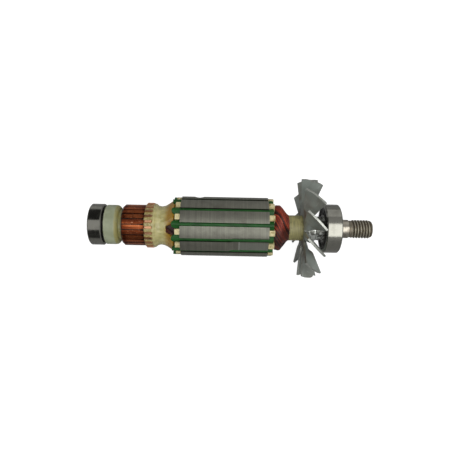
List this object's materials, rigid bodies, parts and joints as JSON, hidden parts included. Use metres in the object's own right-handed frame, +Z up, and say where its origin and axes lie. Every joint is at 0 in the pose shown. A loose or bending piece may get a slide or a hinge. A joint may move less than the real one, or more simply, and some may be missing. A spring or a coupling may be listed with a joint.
{
  "type": "motor armature",
  "caption": "Wound motor armature on its shaft, with slotted core, copper commutator, twisted-blade fan, ball bearings and threaded end.",
  "frame": {"origin": "centre of the bounding box's floor: the surface that the armature lies on", "axes": "+X runs along the shaft towards the threaded end, which leans up by about 7.6 degrees as it lies on two fan blades and the rear bearing; +Z is up"},
  "size_m": [0.15, 0.0528, 0.0526],
  "materials": {
    "shaft": "ground and turned steel",
    "shaft_sleeve": "glass-fibre reinforced resin tube",
    "lamination_stack": "stacked electrical steel, turned on the outside",
    "slot_liners": "green insulating film",
    "slot_wedges": "green wedge strip",
    "rear_end_insulator": "cream moulded insulator",
    "front_end_insulator": "cream moulded insulator",
    "winding": "enamelled copper wire in varnish",
    "lead_resin": "cream epoxy resin with amber varnish",
    "commutator_bars": "copper, worn by the brushes",
    "commutator_micas": "mica strips",
    "commutator_moulding": "dark moulded phenolic",
    "commutator_bush": "steel bush",
    "rear_collar": "pale moulded plastic",
    "fan": "pressed sheet",
    "fan_boss": "turned steel",
    "front_spacer": "turned steel",
    "rear_inner_ring": "ground bearing steel",
    "rear_outer_ring": "ground and polished bearing steel",
    "rear_balls": "polished bearing steel",
    "rear_cage": "pressed steel",
    "rear_outside_seal": "black nitrile rubber",
    "rear_inside_seal": "black nitrile rubber",
    "front_inner_ring": "ground bearing steel",
    "front_outer_ring": "ground and polished bearing steel",
    "front_balls": "polished bearing steel",
    "front_cage": "pressed steel",
    "front_outside_seal": "black nitrile rubber",
    "front_inside_seal": "black nitrile rubber"
  },
  "bodies": {
    "rotor": {"shaft": "shaft", "shaft_sleeve": "shaft_sleeve", "lamination_stack": "lamination_stack", "slot_liners": "slot_liners", "slot_wedges": "slot_wedges", "rear_end_insulator": "rear_end_insulator", "front_end_insulator": "front_end_insulator", "winding": "winding", "lead_resin": "lead_resin", "commutator_bars": "commutator_bars", "commutator_micas": "commutator_micas", "commutator_moulding": "commutator_moulding", "commutator_bush": "commutator_bush", "rear_collar": "rear_collar", "fan": "fan", "fan_boss": "fan_boss", "front_spacer": "front_spacer", "rear_inner_ring": "rear_inner_ring", "front_inner_ring": "front_inner_ring"},
    "rear_outer": {"rear_outer_ring": "rear_outer_ring", "rear_outside_seal": "rear_outside_seal", "rear_inside_seal": "rear_inside_seal"},
    "rear_rolling": {"rear_balls": "rear_balls", "rear_cage": "rear_cage"},
    "front_outer": {"front_outer_ring": "front_outer_ring", "front_outside_seal": "front_outside_seal", "front_inside_seal": "front_inside_seal"},
    "front_rolling": {"front_balls": "front_balls", "front_cage": "front_cage"}
  },
  "joints": [
    {"name": "rear_bearing_turn", "type": "hinge", "parent": "rotor", "child": "rear_outer", "pos_m": [-0.0701, 0, 0.0113], "axis": [0.9912, 0, 0.1326], "continuous": true},
    {"name": "rear_cage_turn", "type": "hinge", "parent": "rotor", "child": "rear_rolling", "pos_m": [-0.0701, 0, 0.0113], "axis": [0.9912, 0, 0.1326], "continuous": true},
    {"name": "front_bearing_turn", "type": "hinge", "parent": "rotor", "child": "front_outer", "pos_m": [0.05271, 0, 0.02773], "axis": [0.9912, 0, 0.1326], "continuous": true},
    {"name": "front_cage_turn", "type": "hinge", "parent": "rotor", "child": "front_rolling", "pos_m": [0.05271, 0, 0.02773], "axis": [0.9912, 0, 0.1326], "continuous": true}
  ],
  "couplings": [
    {"joint": "rear_cage_turn", "follows": "rear_bearing_turn", "ratio": 0.6323},
    {"joint": "front_cage_turn", "follows": "front_bearing_turn", "ratio": 0.63231}
  ]
}
